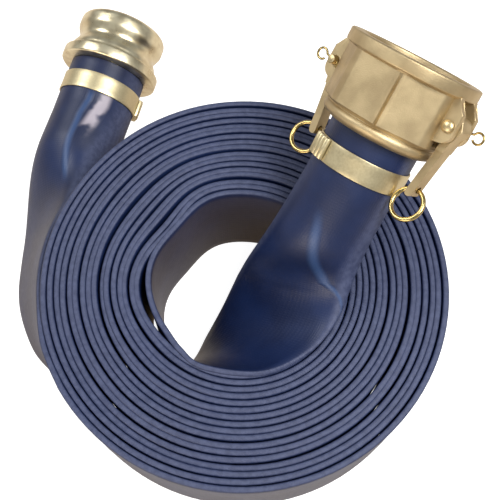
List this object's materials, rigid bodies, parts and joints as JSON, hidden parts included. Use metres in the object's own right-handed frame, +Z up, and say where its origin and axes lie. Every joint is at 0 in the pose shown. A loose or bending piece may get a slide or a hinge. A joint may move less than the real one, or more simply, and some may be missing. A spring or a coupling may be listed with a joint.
{
  "type": "camlock coupling hose",
  "caption": "Brass cam and groove coupling pair on a coiled blue lay-flat hose, with hinged cam arms, pull rings and band clamps.",
  "frame": {"origin": "middle of the footprint, on the plane the coil rests on", "axes": "+Z up, square to the plane the coil lies on; +Y from the near side of the coil towards the two fittings; +X towards the female coupler"},
  "size_m": [0.2808, 0.3384, 0.2014],
  "materials": {
    "cast_brass": "sand-cast, matte",
    "polished_brass": "turned and polished",
    "band_steel": "zinc-yellow passivated, satin",
    "steel_wire": "zinc-yellow passivated wire",
    "blue_pvc": "satin, with a woven yarn print",
    "black_rubber": "moulded nitrile"
  },
  "bodies": {
    "hose_and_fittings": {"coupler_body": "cast_brass", "coupler_gasket": "black_rubber", "pivot_pin_right": "steel_wire", "pivot_pin_left": "steel_wire", "pin_cotter_right": "steel_wire", "pin_cotter_left": "steel_wire", "coupler_band": "band_steel", "coupler_band_buckle": "band_steel", "hose_coil": "blue_pvc", "hose_coupler_tail": "blue_pvc", "hose_adapter_tail": "blue_pvc", "adapter_body": "polished_brass", "adapter_band": "band_steel", "adapter_band_buckle": "band_steel"},
    "arm_right": {"cam_arm_right": "cast_brass"},
    "arm_left": {"cam_arm_left": "cast_brass"},
    "ring_right": {"pull_ring_right": "steel_wire"},
    "ring_left": {"pull_ring_left": "steel_wire"}
  },
  "joints": [
    {"name": "cam_arm_right_swing", "type": "hinge", "parent": "hose_and_fittings", "child": "arm_right", "pos_m": [0.12254, 0.0062, 0.16781], "axis": [-0.5931, -0.2853, 0.7529], "range_deg": [0, 120]},
    {"name": "cam_arm_left_swing", "type": "hinge", "parent": "hose_and_fittings", "child": "arm_left", "pos_m": [0.06787, 0.06142, 0.14567], "axis": [0.5931, 0.2853, -0.7529], "range_deg": [0, 120]},
    {"name": "pull_ring_right_swing", "type": "hinge", "parent": "arm_right", "child": "ring_right", "pos_m": [0.10317, -0.01763, 0.14352], "axis": [0.7526, -0.5288, 0.3925], "range_deg": [-50, 80]},
    {"name": "pull_ring_left_swing", "type": "hinge", "parent": "arm_left", "child": "ring_left", "pos_m": [0.0532, 0.03284, 0.12328], "axis": [-0.5711, 0.8082, -0.1437], "range_deg": [-80, 50]}
  ]
}
